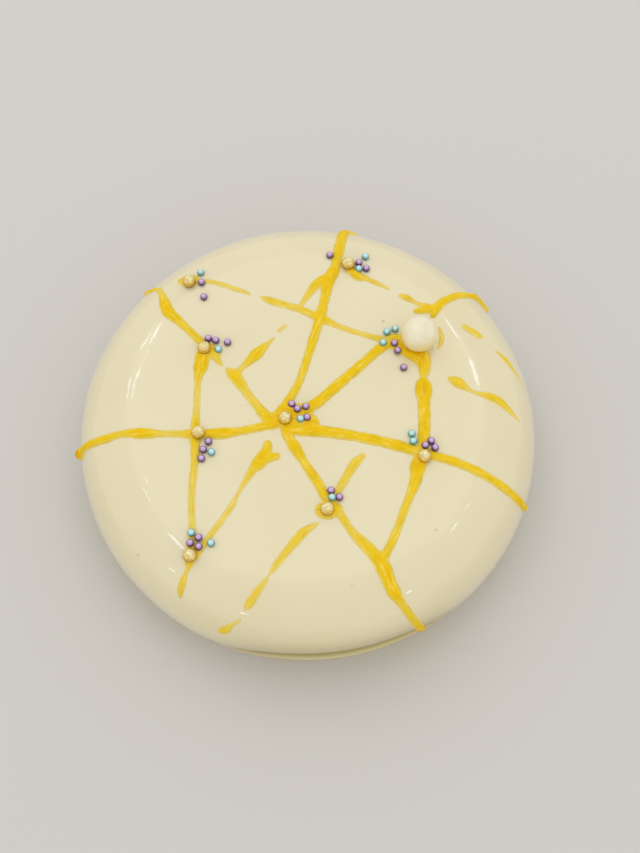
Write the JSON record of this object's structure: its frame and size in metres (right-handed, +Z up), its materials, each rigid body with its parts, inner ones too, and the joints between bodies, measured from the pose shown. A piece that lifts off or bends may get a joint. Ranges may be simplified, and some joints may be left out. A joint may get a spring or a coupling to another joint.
{
  "type": "birthday cake",
  "caption": "Whole round birthday cake in pale cream glaze, with criss-crossing threads of yellow gel, clusters of sugar pearls and a white chocolate ball.",
  "frame": {"origin": "centre of the cake's flat round base, which lies on the surface it stands on", "axes": "+Z up, out of the decorated top; -Y is the side nearest the viewer in the picture and +X is to the viewer's right"},
  "size_m": [0.2008, 0.1982, 0.0648],
  "materials": {
    "glaze": "soft gel glaze with a wet mirror gloss, pale cream yellow",
    "gel": "clear-looking yellow topping gel, wet gloss, paler where it is thin",
    "gold_pearl": "satin metallic sugar coating",
    "purple_pearl": "pearly sugar coating",
    "turquoise_pearl": "pearly sugar coating",
    "white_chocolate": "smooth white chocolate with a satin shine"
  },
  "bodies": {
    "root": {"cake": "glaze", "chocolate_ball": "white_chocolate"}
  },
  "joints": []
}
